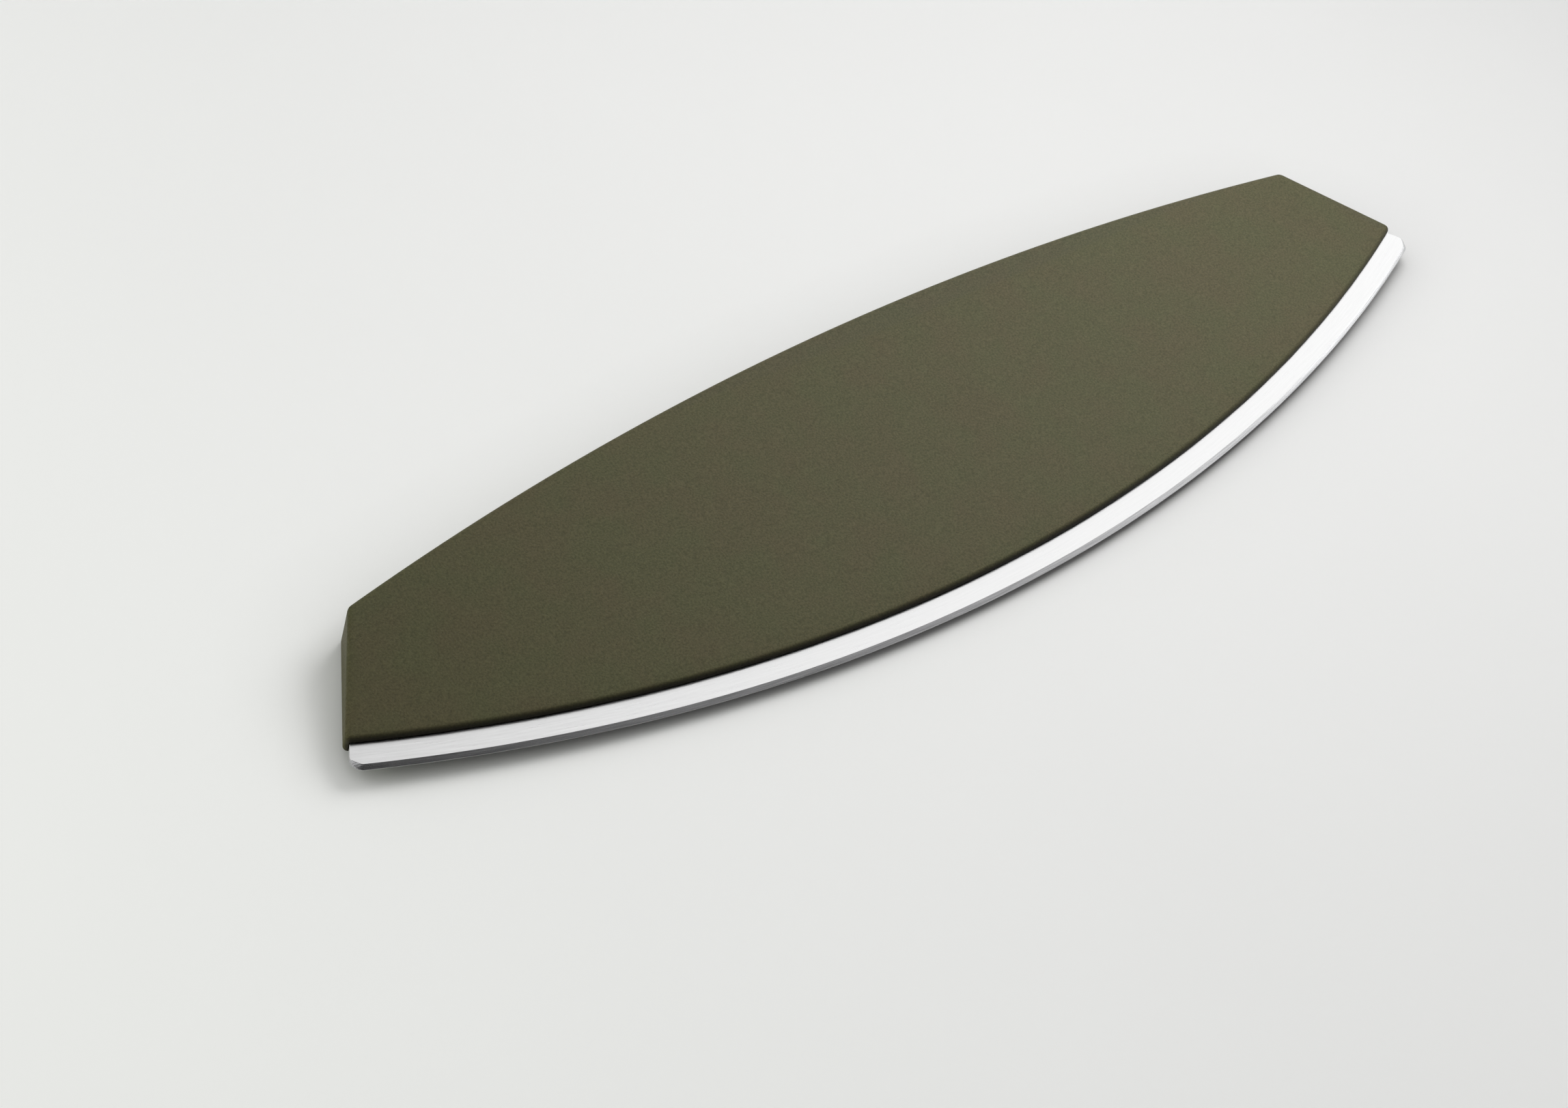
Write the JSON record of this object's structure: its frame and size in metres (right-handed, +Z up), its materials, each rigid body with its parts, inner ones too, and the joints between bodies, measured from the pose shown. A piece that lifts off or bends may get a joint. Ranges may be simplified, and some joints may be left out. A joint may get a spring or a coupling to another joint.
{
  "type": "rocking pizza knife",
  "caption": "Wide rocking knife for pizza: a shallow curved steel blade clamped along the lower edge of a wedge-shaped, two-part moulded handle.",
  "frame": {"origin": "middle of the base of the bounding box, on the surface that the knife lies on", "axes": "+X along the knife, +Y from the cutting edge to the spine, +Z up from the surface; the knife lies on its rear face, so the blade's plane is tilted 3.5 degrees about X"},
  "size_m": [0.3746, 0.0898, 0.0147],
  "materials": {
    "blade_steel": "fine brushed lines along the blade",
    "handle_plastic": "matte olive green with a fine leathery grain",
    "pin_steel": "turned, satin"
  },
  "bodies": {
    "root": {"blade": "blade_steel", "front_shell": "handle_plastic", "rear_shell": "handle_plastic", "tang_pin_1": "pin_steel", "tang_pin_2": "pin_steel", "tang_pin_3": "pin_steel", "tang_pin_4": "pin_steel", "tang_pin_5": "pin_steel", "tang_pin_6": "pin_steel"}
  },
  "joints": []
}
